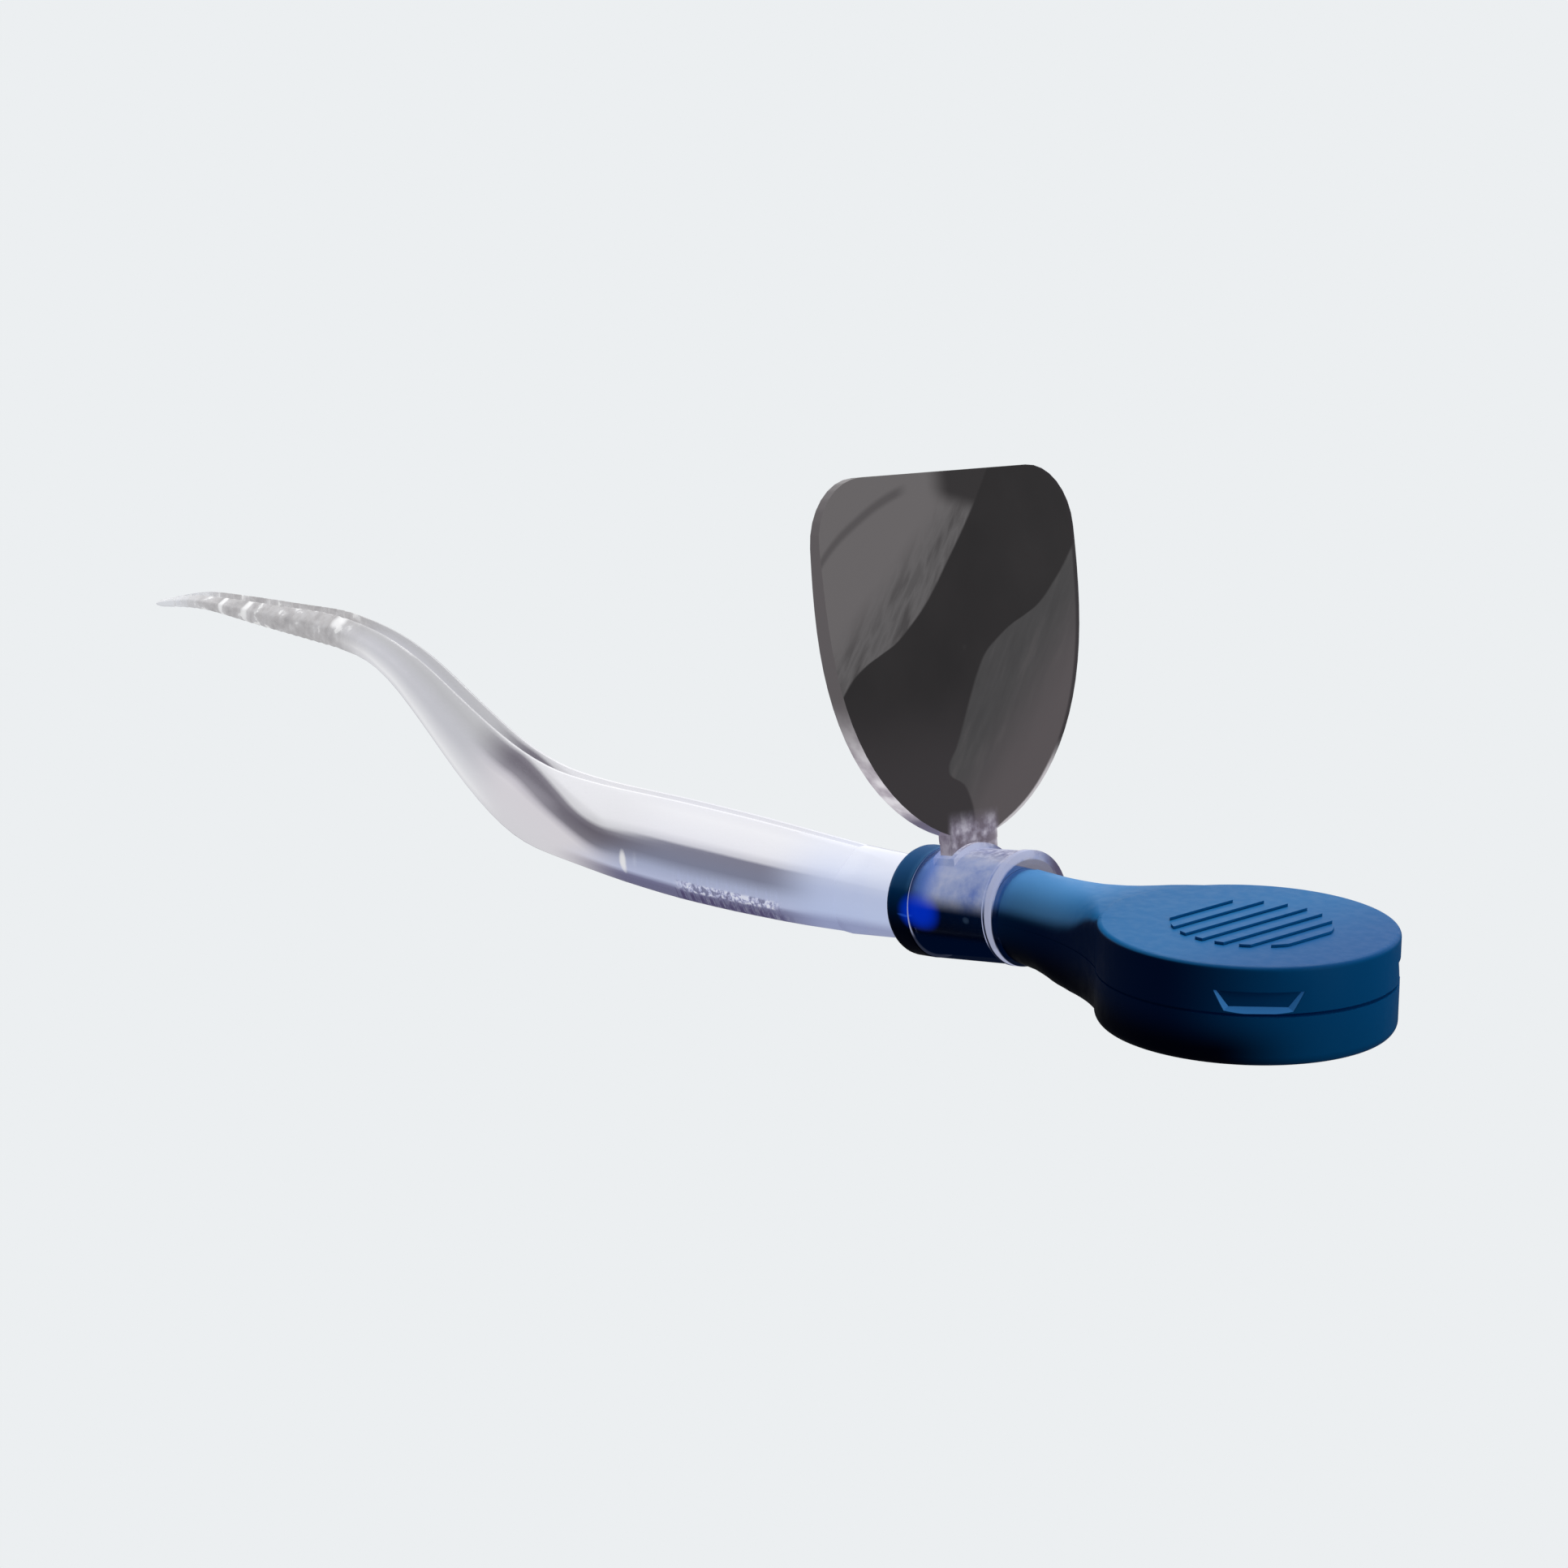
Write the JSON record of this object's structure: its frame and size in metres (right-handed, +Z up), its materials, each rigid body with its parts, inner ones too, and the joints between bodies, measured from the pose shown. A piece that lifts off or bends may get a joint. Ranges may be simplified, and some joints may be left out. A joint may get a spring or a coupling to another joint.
{
  "type": "lighted bayonet forceps with magnifier",
  "caption": "Round squeeze-light handle with a clear light-guiding bayonet forceps head plugged into its neck and a shield-shaped magnifier on a turning collar.",
  "frame": {"origin": "centre of the round pod's flat underside", "axes": "+Z up through the pod towards the magnifier's side, -X along the neck towards the forceps tips, +Y to the tool's right-hand side seen from behind the handle"},
  "size_m": [0.1614, 0.0336, 0.0456],
  "materials": {
    "shell_blue": "fine-textured satin moulding, royal blue",
    "steel": "drawn wire",
    "silicone": "matt",
    "cell_can": "satin nickel",
    "white_plastic": "moulded",
    "film": "polyester film",
    "contact_brass": "stamped spring strip",
    "resistor_body": "lacquered",
    "lamp_epoxy": "clear epoxy",
    "clear_guide": "clear moulded polycarbonate",
    "clear_collar": "clear moulded polycarbonate, faint lavender",
    "smoke_pane": "polished smoke-grey acrylic"
  },
  "bodies": {
    "handle": {"lower_shell": "shell_blue", "hinge_pin": "steel", "cell_lower": "cell_can", "cell_upper": "cell_can", "cell_cradle": "white_plastic", "insulator_film": "film", "contact_negative": "contact_brass", "positive_strip": "contact_brass", "series_resistor": "resistor_body", "led": "lamp_epoxy", "led_anode_lead": "steel", "led_cathode_lead": "steel", "led_holder": "white_plastic"},
    "lever": {"upper_shell": "shell_blue", "press_pad": "silicone"},
    "leaf": {"switch_leaf": "contact_brass"},
    "magnifier": {"lens_collar": "clear_collar", "magnifier_pane": "smoke_pane"},
    "head": {"forceps_hub": "clear_guide"},
    "left_arm": {"arm_left": "clear_guide"},
    "right_arm": {"arm_right": "clear_guide"}
  },
  "joints": [
    {"name": "squeeze", "type": "hinge", "parent": "handle", "child": "lever", "pos_m": [-0.0226, 0, 0.0053], "axis": [0, 1, 0], "range_deg": [0, 0.5]},
    {"name": "leaf_flex", "type": "hinge", "parent": "handle", "child": "leaf", "pos_m": [-0.0105, 0, 0.00512], "axis": [0, 1, 0], "range_deg": [0, 0.98]},
    {"name": "magnifier_turn", "type": "hinge", "parent": "handle", "child": "magnifier", "pos_m": [-0.03, 0, 0.00386], "axis": [-0.9956, 0, -0.0941], "continuous": true},
    {"name": "head_release", "type": "slide", "parent": "handle", "child": "head", "axis": [-0.9956, 0, -0.0941], "range_m": [0, 0.012]},
    {"name": "arm_left_flex", "type": "hinge", "parent": "head", "child": "left_arm", "pos_m": [-0.046, -0.002, 0.0026], "axis": [0, 0, -1], "range_deg": [0, 0.6]},
    {"name": "arm_right_flex", "type": "hinge", "parent": "head", "child": "right_arm", "pos_m": [-0.046, 0.002, 0.0026], "axis": [0, 0, 1], "range_deg": [0, 0.6]}
  ],
  "couplings": [
    {"joint": "leaf_flex", "follows": "squeeze", "ratio": 1.95},
    {"joint": "arm_right_flex", "follows": "arm_left_flex", "ratio": 1}
  ]
}
